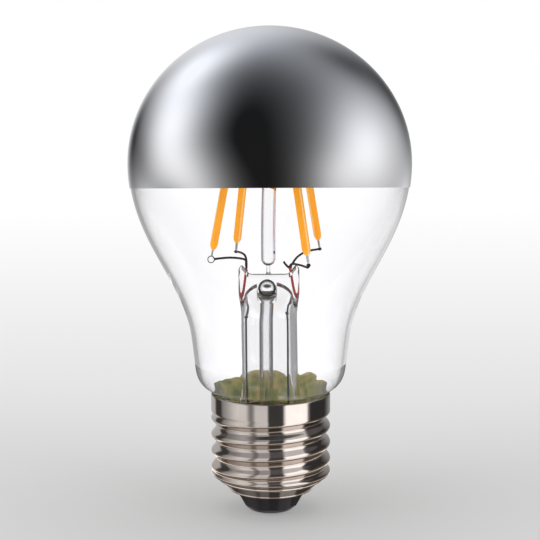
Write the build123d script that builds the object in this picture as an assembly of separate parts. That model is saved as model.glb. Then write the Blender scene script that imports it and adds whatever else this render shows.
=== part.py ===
from build123d import *
import math
import os

# Silver crown filament lamp, standing on its centre contact.
# All sizes are in millimetres, z is the height above the contact's face, -Y is the front.

# Clearances
fit_gap = 0.1
coat_gap = 0.05
wire_gap = 0.03

# Screw cap: crest, pitch and depth of the 27 mm round thread, in thin rolled sheet
crest_diameter = 26.2
thread_pitch = 3.629
thread_depth = 1.05
crest_height = 15.42
sheet_thickness = 0.3
shell_height = 21.1
collar_height = 3.6
ridge_inset = 1.9
ridge_rise = 2.3
lip_inset = 4.0
shoulder_rise = 1.5
run_out = 1.2

# Foot of the cap
contact_proud = 0.4
contact_radius = 3.3
contact_thickness = 0.9
shank_radius = 1.2
shank_length = 2.0
insulator_drop = 4.7
insulator_foot_radius = 5.3
insulator_edge = 1.0
insulator_cone_inset = 1.2
insulator_seat_rise = 1.7

# Driver in the cap
board_thickness = 1.2
resistor_radius = 1.1
resistor_well_gap = 0.5
resistor_lead_show = 0.6
capacitor_radius = 3.1
capacitor_height = 6.4
rectifier_length = 4.6
rectifier_width = 3.8
rectifier_height = 1.6
chip_length = 4.9
chip_width = 3.9
chip_height = 1.4
neutral_rise = 4.0

# Blown bulb: round_off is the handle that makes a Bezier a quarter of an ellipse
round_off = 0.5523
bulb_diameter = 60.5
crown_height = 29.0
equator_rise = 49.8
mirror_drop = 5.0
belly_handle = 16.0
neck_handle = 13.0
neck_top_radius = 17.2
neck_top_rise = 12.3
neck_foot_radius = 16.4
neck_foot_rise = 5.6
shoulder_drop = 2.8
shoulder_share = 0.4
turn_in_drop = 0.6
spigot_top_drop = 2.2
spigot_gap = 0.45
spigot_depth = 5.6
glass_wall = 0.7
neck_wall = 0.9
mirror_thickness = 0.15

# Stem glass
flange_thickness = 0.8
stem_radius = 6.1
stem_wall = 0.9
flare_height = 10.8
tube_height = 23.4
roof_height = 27.9
roof_radius = 2.0
pinch_height = 31.8
ear_height = 1.8
ear_radius = 6.65
pinch_thickness = 4.8
pinch_bend_rise = 3.0
pad_half_width = 2.7
exhaust_radius = 1.6
exhaust_bore = 1.05
exhaust_tip_drop = 3.6
exhaust_hole_radius = 1.35
exhaust_hole_rise = 0.9
exhaust_hole_shift = -0.6
rod_radius = 1.5
rod_foot_radius = 2.1
rod_foot_height = 1.4
rod_bead_radius = 2.0
rod_bead_height = 2.8

# Wires
lead_spacing = 9.4
lead_radius = 0.25
dumet_radius = 0.22
dumet_top_rise = 1.1
knot_drop = 9.3
bead_radius = 0.45
bend_radius = 0.6
top_wire_rise = 1.35
top_wire_spacing = 1.5

# Filaments: angle of the foot round the axis, twist of the top from there and lift of the foot,
# as each one sits in the lamp
filament_foot_rise = 2.5
filament_foot_radius = 14.0
filament_top_radius = 6.8
filament_span = 35.0
bare_end = 2.0
coat_width = 1.9
coat_depth = 1.6
coat_end_round = 0.55
strip_width = 0.9
strip_depth = 0.4
tab_width = 0.5
tab_depth = 0.2
tab_grip = 1.5
filament_places = {
    "left_front": (207.5, 0, 0.1),
    "right_front": (304.3, -7.2, -0.8),
    "left_rear": (124.2, 0, 0.5),
    "right_rear": (36.5, 0, 1.25),
}

# Heights and radii that follow from the sizes above
crest_radius = crest_diameter / 2
ridge_radius = crest_radius - ridge_inset
lip_radius = crest_radius - lip_inset
lip_z = contact_proud + insulator_drop
ridge_z = lip_z + ridge_rise
rim_z = lip_z + shell_height
collar_z = rim_z - collar_height
seat_z = ridge_z + insulator_seat_rise
board_z = seat_z + board_thickness
seat_radius = ridge_radius - sheet_thickness - fit_gap
board_radius = seat_radius - 0.5
shank_top = contact_thickness + shank_length
resistor_foot = shank_top + resistor_lead_show
resistor_top = seat_z - resistor_lead_show

spigot_radius = crest_radius - thread_depth - sheet_thickness - spigot_gap
mouth_z = rim_z - spigot_depth
neck_foot_z = rim_z + neck_foot_rise
neck_top_z = rim_z + neck_top_rise
equator_z = rim_z + equator_rise
crown_z = equator_z + crown_height
mirror_z = equator_z - mirror_drop

mouth_radius = spigot_radius - neck_wall
flange_z = mouth_z - flange_thickness
flare_z = mouth_z + flare_height
tube_z = mouth_z + tube_height
roof_z = mouth_z + roof_height
pad_z = mouth_z + pinch_height
ear_z = pad_z + ear_height
hole_z = roof_z + exhaust_hole_rise

lead_x = lead_spacing / 2
dumet_top = pad_z + dumet_top_rise
knot_z = pad_z - knot_drop
foot_z = dumet_top + filament_foot_rise
filament_lean = filament_foot_radius - filament_top_radius
filament_rise = math.sqrt(filament_span ** 2 - filament_lean ** 2)
top_wire_z = foot_z + filament_rise + top_wire_rise
rod_top = top_wire_z + rod_bead_height / 2
pieces = {}


def turned(*edges):
    """Solid of revolution about the lamp's axis, from a closed section of (radius, height) edges."""
    return revolve(Plane.XZ * make_face(edges), Axis.Z)


def turned_polygon(*corners):
    return turned(*Polyline(*corners, close=True).edges())


def block(length, width, height, x, y, z):
    """Box standing on height z, centred on x and y."""
    return Pos(x, y, z) * Box(length, width, height, align=(Align.CENTER, Align.CENTER, Align.MIN))


def post(radius, x, y, low, high):
    return Pos(x, y, low) * Cylinder(radius, high - low, align=(Align.CENTER, Align.CENTER, Align.MIN))


def bent_wire(points, bend, beads=()):
    """Round wire along straight runs and tangent bends, with a weld bead at each given point."""
    path = FilletPolyline(*points, radius=bend)
    wire = sweep(Plane(path @ 0, z_dir=path % 0) * Circle(lead_radius), path=path)
    for point in beads:
        wire += Pos(*point) * Sphere(bead_radius)
    return wire


# Screw shell. The radius is a formula of angle and height: a plain outline less the thread's groove.
def ease(share):
    share = min(max(share, 0.0), 1.0)
    return share * share * (3 - 2 * share)


def shell_radius(angle, z):
    if z < ridge_z:
        return lip_radius + (ridge_radius - lip_radius) * (z - lip_z) / ridge_rise
    share = min((z - ridge_z) / shoulder_rise, 1.0)
    plain = ridge_radius + ridge_inset * math.sin(share * math.pi / 2)
    groove = (1 - math.cos(math.tau * (z - crest_height) / thread_pitch - angle)) / 2
    fade = ease((z - ridge_z - shoulder_rise) / run_out) * ease((collar_z - z) / run_out)
    return plain - thread_depth * groove * fade


def shell_section(z, inset):
    count = 24
    points = []
    for i in range(count):
        angle = math.tau * i / count
        radius = shell_radius(angle, z) - inset
        points.append((radius * math.cos(angle), radius * math.sin(angle), z))
    return Wire(Edge.make_spline(points, periodic=True))


def ring_at(shell, z):
    """Closed edge of a lofted shell at one of its end heights."""
    return Wire([edge for edge in shell.edges() if edge.is_closed and abs(edge.center().Z - z) < 0.05])


def shell_skin(inset):
    """One side of the sheet, from lip to rim, in narrow bands that follow the thread."""
    count = max(12, round(12 * (collar_z - ridge_z) / thread_pitch))
    heights = [ridge_z + (collar_z - ridge_z) * i / count for i in range(count + 1)]
    sections = [shell_section(z, inset) for z in (lip_z, *heights, rim_z)]
    return Shell.make_loft(sections, ruled=True)


outside = shell_skin(0)
inside = shell_skin(sheet_thickness)
shell_ends = [Face(ring_at(outside, z), [ring_at(inside, z)]) for z in (lip_z, rim_z)]
pieces["screw_shell"] = Solid(Shell([*outside.faces(), *inside.faces(), *shell_ends]))

# Insulator: a cone below the lip, a body inside the shell, a bore for the contact
# and a well for the resistor.
cone_radius = lip_radius - insulator_cone_inset
foot_slope = (cone_radius - insulator_foot_radius) / insulator_drop
edge_top = (insulator_foot_radius + foot_slope * insulator_edge, contact_proud + insulator_edge)
edge_in = (insulator_foot_radius - insulator_edge, contact_proud)
recess_radius = contact_radius + fit_gap
bore_radius = shank_radius + fit_gap
well_radius = resistor_radius + resistor_well_gap
pieces["insulator"] = turned(
    *Polyline(
        edge_top,
        (cone_radius, lip_z),
        (lip_radius - sheet_thickness - 2 * fit_gap, lip_z),
        (seat_radius - fit_gap, ridge_z),
        (seat_radius - fit_gap, seat_z),
        (well_radius, seat_z),
        (well_radius, shank_top),
        (bore_radius, shank_top),
        (bore_radius, contact_thickness),
        (recess_radius, contact_thickness),
        (recess_radius, contact_proud),
        edge_in,
    ).edges(),
    Bezier(edge_in, (insulator_foot_radius, contact_proud), edge_top),
)

# Centre contact: a flat button with an eyelet shank that the live lead goes into.
eyelet_bore = lead_radius + fit_gap
pieces["centre_contact"] = turned_polygon(
    (0, 0),
    (contact_radius, 0),
    (contact_radius, contact_thickness),
    (shank_radius, contact_thickness),
    (shank_radius, shank_top),
    (eyelet_bore, shank_top),
    (eyelet_bore, contact_thickness),
    (0, contact_thickness),
)

# Driver: a round board on the insulator, its parts, and the leads to the contact and the shell.
pieces["driver_board"] = post(board_radius, 0, 0, seat_z, board_z)
pieces["fuse_resistor"] = post(resistor_radius, 0, 0, resistor_foot, resistor_top)
live_low = post(lead_radius, 0, 0, contact_thickness, resistor_foot)
live_high = post(lead_radius, 0, 0, resistor_top, seat_z)
pieces["live_leads"] = Compound(children=[live_low, live_high])
capacitor_y = -(board_radius - capacitor_radius - 1.4)
pieces["smoothing_capacitor"] = post(
    capacitor_radius, 0, capacitor_y, board_z, board_z + capacitor_height
)
chip_y = board_radius * 0.46
rectifier_x = -(rectifier_length / 2 + 0.6)
chip_x = chip_length / 2 + 0.6
pieces["bridge_rectifier"] = block(
    rectifier_length, rectifier_width, rectifier_height, rectifier_x, chip_y, board_z
)
pieces["driver_chip"] = block(chip_length, chip_width, chip_height, chip_x, chip_y, board_z)
neutral_x = board_radius - 1.2
neutral_z = board_z + neutral_rise
neutral_end = crest_radius - thread_depth - sheet_thickness - fit_gap
pieces["neutral_wire"] = bent_wire(
    [(neutral_x, 0, board_z), (neutral_x, 0, neutral_z), (neutral_end, 0, neutral_z)],
    bend_radius,
)


# Blown bulb. One side of its section, moved in by the wall for the inside or out for a coat.
def bulb_side(inset, neck_inset):
    belly = bulb_diameter / 2 - inset
    top = crown_height - inset
    top_z = equator_z + top
    crown_side = (belly, equator_z + round_off * top)
    neck_top = (neck_top_radius - neck_inset, neck_top_z)
    neck_foot = (neck_foot_radius - neck_inset, neck_foot_z)
    taper = (neck_top_radius - neck_foot_radius) / (neck_top_z - neck_foot_z)
    ease_in = (neck_top[0] + taper * neck_handle, neck_top_z + neck_handle)
    corner = (neck_foot[0] - taper * shoulder_drop, neck_foot_z - shoulder_drop)
    spigot = spigot_radius - neck_inset
    turn_in = (spigot, rim_z - turn_in_drop)
    joint = tuple(c + shoulder_share * (t - c) for c, t in zip(corner, turn_in))
    spigot_top = (spigot, rim_z - spigot_top_drop)
    return [
        Bezier((0, top_z), (round_off * belly, top_z), crown_side, (belly, equator_z)),
        Bezier((belly, equator_z), (belly, equator_z - belly_handle), ease_in, neck_top),
        Line(neck_top, neck_foot),
        Bezier(neck_foot, corner, joint),
        Bezier(joint, turn_in, spigot_top),
        Line(spigot_top, (spigot, mouth_z)),
    ]


def bulb_solid(inset):
    """The whole space inside one side of the bulb's section, down to the mouth."""
    floor = Line((spigot_radius - inset, mouth_z), (0, mouth_z))
    axis = Line((0, mouth_z), (0, crown_z - inset))
    return turned(*bulb_side(inset, inset), floor, axis)


pieces["glass_bulb"] = turned(
    *bulb_side(0, 0),
    Line((spigot_radius, mouth_z), (mouth_radius, mouth_z)),
    *bulb_side(glass_wall, neck_wall),
    Line((0, crown_z - glass_wall), (0, crown_z)),
)

# Mirror coat: the crown's outside, down to a level edge under the equator.
keep = Pos(0, 0, mirror_z) * Cylinder(
    bulb_diameter, 2 * crown_height, align=(Align.CENTER, Align.CENTER, Align.MIN)
)
coat = bulb_solid(-coat_gap - mirror_thickness) - bulb_solid(-coat_gap)
pieces["mirror_crown"] = coat & keep

# Capping cement: fills the collar between the shell and the bulb's spigot.
cement_low = collar_z + 0.3
cement_high = rim_z - 0.3
cement_radius = crest_radius - sheet_thickness - fit_gap
cement_block = turned_polygon(
    (mouth_radius, cement_low),
    (cement_radius, cement_low),
    (cement_radius, cement_high),
    (mouth_radius, cement_high),
)
pieces["cement_ring"] = cement_block - bulb_solid(-fit_gap)


# Stem glass: flare and tube are turned, and a slab that narrows upward flattens the top into the pinch.
def flare_edge(foot_radius, foot_height, top_radius):
    reach = foot_radius - top_radius
    return Bezier(
        (foot_radius, foot_height),
        (top_radius + 0.25 * reach, foot_height + 0.08 * flare_height),
        (top_radius, flare_z - 0.55 * flare_height),
        (top_radius, flare_z),
    )


def pinch_slab(half_low, half_high):
    """Slab across the lamp, half_low deep at the tube and half_high deep at the pinch."""
    bend_z = tube_z + pinch_bend_rise
    side = [(half_low, tube_z), (half_low, bend_z), (half_high, bend_z), (half_high, roof_z + 1)]
    mirrored = [(-y, z) for y, z in side]
    low = flange_z - 1
    high = ear_z + 1
    outline = [
        Bezier(*side),
        Line(side[-1], (half_high, high)),
        Line((half_high, high), (-half_high, high)),
        Line((-half_high, high), mirrored[-1]),
        Bezier(*mirrored),
        Line(mirrored[0], (-half_low, low)),
        Line((-half_low, low), (half_low, low)),
        Line((half_low, low), side[0]),
    ]
    return extrude(Plane.YZ * make_face(outline), spigot_radius + 1, both=True)


wide = stem_radius + 0.2
stem_outside = turned(
    Line((0, tube_z - 1), (stem_radius, tube_z - 1)),
    Line((stem_radius, tube_z - 1), (stem_radius, tube_z)),
    Line((stem_radius, tube_z), (ear_radius, roof_z)),
    Line((ear_radius, roof_z), (ear_radius, ear_z)),
    Line((ear_radius, ear_z), (0, ear_z)),
    Line((0, ear_z), (0, tube_z - 1)),
) & pinch_slab(wide, pinch_thickness / 2)
stem_foot = turned(
    Line((0, flange_z), (spigot_radius, flange_z)),
    Line((spigot_radius, flange_z), (spigot_radius, mouth_z)),
    Line((spigot_radius, mouth_z), (mouth_radius, mouth_z)),
    flare_edge(mouth_radius, mouth_z, stem_radius),
    Line((stem_radius, flare_z), (stem_radius, tube_z - 1)),
    Line((stem_radius, tube_z - 1), (0, tube_z - 1)),
    Line((0, tube_z - 1), (0, flange_z)),
)
bore = stem_radius - stem_wall
roof_arch = EllipticalCenterArc(
    (roof_radius, tube_z + 1), bore - roof_radius, roof_z - tube_z - 1, start_angle=0, arc_size=90
)
hollow_top = turned(
    Line((0, tube_z - 1), (bore, tube_z - 1)),
    Line((bore, tube_z - 1), (bore, tube_z + 1)),
    roof_arch,
    Line((roof_radius, roof_z), (0, roof_z)),
    Line((0, roof_z), (0, tube_z - 1)),
) & pinch_slab(wide - stem_wall, exhaust_radius + 0.25)
hollow_foot = turned(
    Line((0, flange_z), (mouth_radius - stem_wall, flange_z)),
    flare_edge(mouth_radius - stem_wall, flange_z, bore),
    Line((bore, flare_z), (bore, tube_z - 1)),
    Line((bore, tube_z - 1), (0, tube_z - 1)),
    Line((0, tube_z - 1), (0, flange_z)),
)
saddle = Polyline(
    (-pad_half_width, pad_z),
    (pad_half_width, pad_z),
    (ear_radius + 0.3, ear_z),
    (ear_radius + 0.3, ear_z + 2),
    (-ear_radius - 0.3, ear_z + 2),
    (-ear_radius - 0.3, ear_z),
    close=True,
)
saddle_cut = extrude(Plane.XZ * make_face(saddle.edges()), pinch_thickness, both=True)
exhaust_shaft = post(exhaust_bore, 0, 0, roof_z - 1, hole_z)
exhaust_port = Pos(exhaust_hole_shift, 0, hole_z) * Rot(90, 0, 0) * Cylinder(
    exhaust_hole_radius, pinch_thickness, align=(Align.CENTER, Align.CENTER, Align.MIN)
)
stem = stem_foot + stem_outside - hollow_foot - hollow_top - saddle_cut - exhaust_shaft - exhaust_port
for x in (-lead_x, lead_x):
    stem -= post(dumet_radius + wire_gap, x, 0, tube_z, ear_z + 1)
pieces["stem_flare"] = stem

# Exhaust tube: from the pinch's roof down to a tip that is melted shut.
tip_z = flange_z - exhaust_tip_drop
tip_top = tip_z + 3 * exhaust_radius
pieces["exhaust_tube"] = turned(
    Line((exhaust_bore, roof_z), (exhaust_radius, roof_z)),
    Line((exhaust_radius, roof_z), (exhaust_radius, tip_top)),
    Bezier((exhaust_radius, tip_top), (exhaust_radius, tip_z), (0, tip_z)),
    Line((0, tip_z), (0, tip_z + exhaust_radius)),
    Bezier((0, tip_z + exhaust_radius), (exhaust_bore, tip_z + exhaust_radius), (exhaust_bore, tip_top)),
    Line((exhaust_bore, tip_top), (exhaust_bore, roof_z)),
)

# Filaments. Each leans in from its foot to its top, and its frame looks along it with x round the lamp.
feet = {}
tops = {}
for name, (angle, twist, lift) in filament_places.items():
    turn = math.radians(angle)
    top_turn = math.radians(angle + twist)
    low = foot_z + lift
    inward = filament_foot_radius - filament_top_radius * math.cos(top_turn - turn)
    sideways = filament_top_radius * math.sin(top_turn - turn)
    high = low + math.sqrt(filament_span ** 2 - inward ** 2 - sideways ** 2)
    feet[name] = (filament_foot_radius * math.cos(turn), filament_foot_radius * math.sin(turn), low)
    tops[name] = (filament_top_radius * math.cos(top_turn), filament_top_radius * math.sin(top_turn), high)
    along = Vector(*tops[name]) - Vector(*feet[name])
    frame = Plane(feet[name], x_dir=(-math.sin(turn), math.cos(turn), 0), z_dir=along)
    coat_length = filament_span - 2 * bare_end
    strip_start = bare_end + tab_grip
    strip_length = coat_length - 2 * tab_grip
    coating = extrude(Pos(0, 0, bare_end) * Ellipse(coat_width / 2, coat_depth / 2), coat_length)
    coating = fillet(coating.edges().filter_by(lambda edge: edge.is_closed), coat_end_round)
    slot = block(strip_width + 2 * coat_gap, strip_depth + 2 * coat_gap, filament_span, 0, 0, 0)
    strip = block(strip_width, strip_depth, strip_length, 0, 0, strip_start)
    tab_start = bead_radius + wire_gap
    tab_length = strip_start - tab_start
    tabs = []
    for low_end in (tab_start, strip_start + strip_length):
        tabs.append(frame * block(tab_width, tab_depth, tab_length, 0, 0, low_end))
    pieces["coating_" + name] = frame * (coating - slot)
    pieces["strip_" + name] = frame * strip
    pieces["tabs_" + name] = Compound(children=tabs)

# Lead wires: an outer lead up the stem tube, a seal wire through the pinch,
# an inner lead to a front filament.
for side, x, front in (("left", -lead_x, "left_front"), ("right", lead_x, "right_front")):
    outer_lead = post(lead_radius, x, 0, board_z, knot_z)
    pieces["outer_lead_" + side] = outer_lead + Pos(x, 0, knot_z) * Sphere(bead_radius)
    pieces["dumet_seal_" + side] = post(dumet_radius, x, 0, knot_z + bead_radius + wire_gap, dumet_top)
    end = feet[front]
    pieces["inner_lead_" + side] = bent_wire([(x, 0, dumet_top), (x, 0, end[2]), end], bend_radius, [end])

# Branch wires: welded beside the inner leads and bent out to the rear filaments.
beside = 2 * lead_radius + wire_gap
left_end = feet["left_rear"]
left_top = left_end[2] + 0.3
pieces["branch_wire_left"] = bent_wire(
    [
        (-lead_x, beside, dumet_top + 0.4),
        (-lead_x, beside, left_top),
        (-lead_x - 0.7, beside + 3.6, left_top + 0.6),
        left_end,
    ],
    bend_radius,
    [left_end],
)
right_end = feet["right_rear"]
pieces["branch_wire_right"] = bent_wire(
    [
        (lead_x - 1.4, beside, dumet_top + 1.5),
        (lead_x, beside, dumet_top + 0.6),
        (lead_x + 1.9, beside + 2.4, right_end[2] - 0.6),
        right_end,
    ],
    bend_radius * 0.7,
    [right_end],
)

# Top wires: each goes through the rod's bead and joins the upper ends of a left and a right filament.
reach = rod_bead_radius + 1
top_wires = {}
for pair, y in (("front", -top_wire_spacing / 2), ("rear", top_wire_spacing / 2)):
    left = tops["left_" + pair]
    right = tops["right_" + pair]
    route = [left, (-reach, y, top_wire_z), (reach, y, top_wire_z), right]
    pieces["top_wire_" + pair] = bent_wire(route, bend_radius, [left, right])
    top_wires[pair] = y

# Support rod: stands on the pinch's saddle, and ends in a bead that grips the top wires.
bead_low = rod_top - rod_bead_height
rod = turned(
    Line((0, pad_z), (rod_foot_radius, pad_z)),
    Bezier((rod_foot_radius, pad_z), (rod_radius, pad_z + 0.3), (rod_radius, pad_z + rod_foot_height)),
    Line((rod_radius, pad_z + rod_foot_height), (rod_radius, bead_low)),
    Bezier((rod_radius, bead_low), (rod_bead_radius, bead_low + 0.4), (rod_bead_radius, top_wire_z)),
    Bezier((rod_bead_radius, top_wire_z), (rod_bead_radius, rod_top), (0, rod_top)),
    Line((0, rod_top), (0, pad_z)),
)
for y in top_wires.values():
    rod -= Pos(0, y, top_wire_z) * Rot(0, 90, 0) * Cylinder(lead_radius + wire_gap, 4 * rod_bead_radius)
pieces["support_rod"] = rod

os.makedirs("parts", exist_ok=True)
for name, piece in pieces.items():
    export_step(piece, "parts/" + name + ".step")
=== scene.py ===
import math

import bmesh
import bpy
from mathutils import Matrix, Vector


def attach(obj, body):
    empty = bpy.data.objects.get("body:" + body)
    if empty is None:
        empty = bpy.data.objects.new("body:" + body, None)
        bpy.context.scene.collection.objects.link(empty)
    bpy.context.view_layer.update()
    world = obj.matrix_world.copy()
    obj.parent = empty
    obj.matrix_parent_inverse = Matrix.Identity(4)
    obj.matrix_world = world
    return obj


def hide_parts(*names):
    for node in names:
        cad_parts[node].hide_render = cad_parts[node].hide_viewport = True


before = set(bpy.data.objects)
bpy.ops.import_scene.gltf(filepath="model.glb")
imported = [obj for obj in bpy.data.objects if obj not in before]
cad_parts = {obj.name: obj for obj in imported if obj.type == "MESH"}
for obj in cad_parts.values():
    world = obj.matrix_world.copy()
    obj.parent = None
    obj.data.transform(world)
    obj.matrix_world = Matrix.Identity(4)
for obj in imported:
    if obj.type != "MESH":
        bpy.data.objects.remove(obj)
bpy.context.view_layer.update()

# Camera. It stands level with the lower edge of the mirror, which then shows as a straight line,
# close in front of the lamp, tipped a little down and not quite upright. Sizes here and below are
# in millimetres, and angles in degrees.
MM = 0.001
camera_place = Vector((0.04, -215.0, 71.0))
camera_tilt = 4.735
camera_roll = 0.22
camera = bpy.data.objects.new("camera", bpy.data.cameras.new("camera"))
camera.data.lens = 66
camera.data.sensor_width = 36
camera.data.clip_start = 0.005
camera.location = camera_place * MM
camera.rotation_euler = (math.radians(90 - camera_tilt), math.radians(camera_roll), 0)
bpy.context.collection.objects.link(camera)
bpy.context.scene.camera = camera
bpy.context.scene.view_settings.view_transform = "Standard"

# Bulb. Soda-lime glass blown in a mould, thin at the belly and a little thicker at the neck, which
# turns in to a spigot that is sealed to the stem inside the cap. crown_round is the handle that
# makes a Bezier a quarter of an ellipse, and the other handles shape the belly and the turn in.
crown_round = 0.5523
belly_radius = 30.25
equator_z = 76.0
crown_rise = 29.0
belly_handle_z = 60.0
waist_handle_out, waist_handle_z = 1.552, 51.5
neck_top = (17.2, 38.5)
neck_foot = (16.4, 31.8)
shoulder_in, shoulder_drop = 0.334, 2.8
turn_in_share, turn_in_rise = 0.4, 1.6
spigot_radius = 11.3
spigot_top_z = 24.0
mouth_z = 20.6
belly_wall = 0.7
neck_wall = 0.9


def bezier(points, steps):
    """Points along a Bezier curve through its first and last point, without the last."""
    order = len(points) - 1
    found = []
    for step in range(steps):
        t = step / steps
        weights = [math.comb(order, i) * t**i * (1 - t) ** (order - i) for i in range(order + 1)]
        found.append(tuple(sum(w * p[axis] for w, p in zip(weights, points)) for axis in (0, 1)))
    return found


def bulb_side(inset, neck_inset):
    """The bulb's profile from the top of the crown to its mouth, set in from the outer surface."""
    belly = belly_radius - inset
    top_z = equator_z + crown_rise - inset
    high = (neck_top[0] - neck_inset, neck_top[1])
    low = (neck_foot[0] - neck_inset, neck_foot[1])
    waist = (high[0] + waist_handle_out, waist_handle_z)
    spigot = spigot_radius - neck_inset
    corner = (low[0] - shoulder_in, low[1] - shoulder_drop)
    turn_in = (spigot, spigot_top_z + turn_in_rise)
    joint = tuple(c + turn_in_share * (t - c) for c, t in zip(corner, turn_in))
    crown_handle = (belly, equator_z + crown_round * (crown_rise - inset))
    return (
        bezier([(0, top_z), (crown_round * belly, top_z), crown_handle, (belly, equator_z)], 30)
        + bezier([(belly, equator_z), (belly, belly_handle_z), waist, high], 30)
        + bezier([high, low], 4)
        + bezier([low, corner, joint], 10)
        + bezier([joint, turn_in, (spigot, spigot_top_z)], 10)
        + bezier([(spigot, spigot_top_z), (spigot, mouth_z)], 5)
        + [(spigot, mouth_z)]
    )


def add_node(tree, kind, inputs=(), **settings):
    """Adds a node with its settings, and gives each input a value or a link."""
    node = tree.nodes.new(kind)
    for name, value in settings.items():
        setattr(node, name, value)
    for key, value in dict(inputs).items():
        if isinstance(value, bpy.types.NodeSocket):
            tree.links.new(value, node.inputs[key])
        else:
            node.inputs[key].default_value = value
    return node


def maths(tree, operation, *values, **settings):
    """The result of a maths node on numbers or sockets."""
    inputs = dict(enumerate(values))
    return add_node(tree, "ShaderNodeMath", inputs, operation=operation, **settings).outputs[0]


def ranged(tree, value, span=(0.0, 1.0), to=(0.0, 1.0), **settings):
    """A value carried over from one range to another and held at its ends."""
    inputs = {"Value": value, "From Min": span[0], "From Max": span[1]}
    inputs.update({"To Min": to[0], "To Max": to[1]})
    return add_node(tree, "ShaderNodeMapRange", inputs, **settings).outputs[0]


def blend(tree, share, first, second, kind="RGBA"):
    """A colour or a number between two others."""
    inputs = {"Factor": share, "A": first, "B": second}
    return add_node(tree, "ShaderNodeMix", inputs, data_type=kind).outputs["Result"]


def noise(tree, place, width):
    """Cloudy noise with clouds of a width in millimetres."""
    inputs = {"Vector": place, "Scale": 1 / (width * MM)}
    return add_node(tree, "ShaderNodeTexNoise", inputs).outputs[0]


def new_tree(name, **inputs):
    """A Geometry Nodes tree with a seed mesh and named inputs, and its input sockets."""
    tree = bpy.data.node_groups.new(name, "GeometryNodeTree")
    tree.interface.new_socket("Seed", in_out="INPUT", socket_type="NodeSocketGeometry")
    for label, kind in inputs.items():
        tree.interface.new_socket(label, in_out="INPUT", socket_type="NodeSocket" + kind)
    tree.interface.new_socket("Mesh", in_out="OUTPUT", socket_type="NodeSocketGeometry")
    return tree, tree.nodes.new("NodeGroupInput").outputs


def end_tree(tree, mesh, material):
    """Closes a tree: merged, smooth, realised, with its material on."""
    merged = add_node(tree, "GeometryNodeMergeByDistance", {"Geometry": mesh, "Distance": 1e-6})
    smooth = add_node(tree, "GeometryNodeSetShadeSmooth", {"Geometry": merged.outputs[0]})
    real = add_node(tree, "GeometryNodeRealizeInstances", {"Geometry": smooth.outputs[0]})
    dressed = add_node(tree, "GeometryNodeSetMaterial", {0: real.outputs[0], "Material": material})
    add_node(tree, "NodeGroupOutput", {"Mesh": dressed.outputs[0]})


def seed_mesh(name, lines):
    """A mesh of open lines of points, given in millimetres."""
    points, edges = [], []
    for line in lines:
        edges += [(len(points) + i, len(points) + i + 1) for i in range(len(line) - 1)]
        points += [Vector((p[0], 0, p[1]) if len(p) == 2 else p) * MM for p in line]
    mesh = bpy.data.meshes.new(name)
    mesh.from_pydata(points, edges, [])
    return mesh


def grown(name, lines, tree, **inputs):
    """The plain mesh object that a tree makes from lines of points, with its faces outward."""
    piece = bpy.data.objects.new(name, seed_mesh(name, lines))
    bpy.context.collection.objects.link(piece)
    modifier = piece.modifiers.new(tree.name, "NODES")
    modifier.node_group = tree
    for item in tree.interface.items_tree:
        if item.name in inputs:
            modifier[item.identifier] = inputs[item.name]
    settled = piece.evaluated_get(bpy.context.evaluated_depsgraph_get())
    mesh = bpy.data.meshes.new_from_object(settled)
    piece.modifiers.remove(modifier)
    piece.data = mesh
    shape = bmesh.new()
    shape.from_mesh(mesh)
    bmesh.ops.recalc_face_normals(shape, faces=shape.faces)
    shape.to_mesh(mesh)
    shape.free()
    mesh.set_sharp_from_angle(angle=math.radians(45))
    return piece


# The tree for turned glass and metal: a grid takes its rows from the profile, and its columns go
# round the lamp's axis.
turned, given = new_tree("turned_profile", Steps="Int", Material="Material")
rows = add_node(turned, "GeometryNodeAttributeDomainSize", {"Geometry": given["Seed"]})
round_points = maths(turned, "ADD", given["Steps"], 1.0)
grid = add_node(
    turned,
    "GeometryNodeMeshGrid",
    {"Vertices X": rows.outputs["Point Count"], "Vertices Y": round_points},
)
index = add_node(turned, "GeometryNodeInputIndex")
middle = maths(turned, "ADD", index.outputs[0], 0.5)
share = maths(turned, "DIVIDE", middle, round_points)
row = maths(turned, "FLOOR", share)
passed = maths(turned, "MULTIPLY", row, round_points)
column = maths(turned, "SUBTRACT", index.outputs[0], passed)
step = maths(turned, "DIVIDE", math.tau, given["Steps"])
angle = maths(turned, "MULTIPLY", column, step)
place = add_node(turned, "GeometryNodeInputPosition")
profile = add_node(
    turned,
    "GeometryNodeSampleIndex",
    {"Geometry": given["Seed"], "Value": place.outputs[0], "Index": row},
    data_type="FLOAT_VECTOR",
)
spun = add_node(
    turned,
    "ShaderNodeVectorRotate",
    {"Vector": profile.outputs[0], "Angle": angle},
    rotation_type="Z_AXIS",
)
skin = add_node(
    turned, "GeometryNodeSetPosition", {"Geometry": grid.outputs[0], "Position": spun.outputs[0]}
)
end_tree(turned, skin.outputs[0], given["Material"])


def linear(code):
    """An sRGB hex colour as the linear colour that Blender works in."""
    parts = [int(code[i : i + 2], 16) / 255 for i in (1, 3, 5)]
    return (*(c / 12.92 if c <= 0.04045 else ((c + 0.055) / 1.055) ** 2.4 for c in parts), 1.0)


def new_material(name):
    """A material with its node tree, its shader and the place on the object."""
    material = bpy.data.materials.new(name)
    material.use_nodes = True
    tree = material.node_tree
    seen = add_node(tree, "ShaderNodeTexCoord").outputs["Object"]
    return material, tree, tree.nodes["Principled BSDF"], seen


def ramp(tree, value, tones):
    """A colour read off a list of values and their tones."""
    node = add_node(tree, "ShaderNodeValToRGB", {"Fac": value})
    stops = node.color_ramp.elements
    stops[0].position, stops[0].color = tones[0][0], linear(tones[0][1])
    stops[1].position, stops[1].color = tones[-1][0], linear(tones[-1][1])
    for place, tone in tones[1:-1]:
        stops.new(place).color = linear(tone)
    return node.outputs["Color"]


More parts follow.
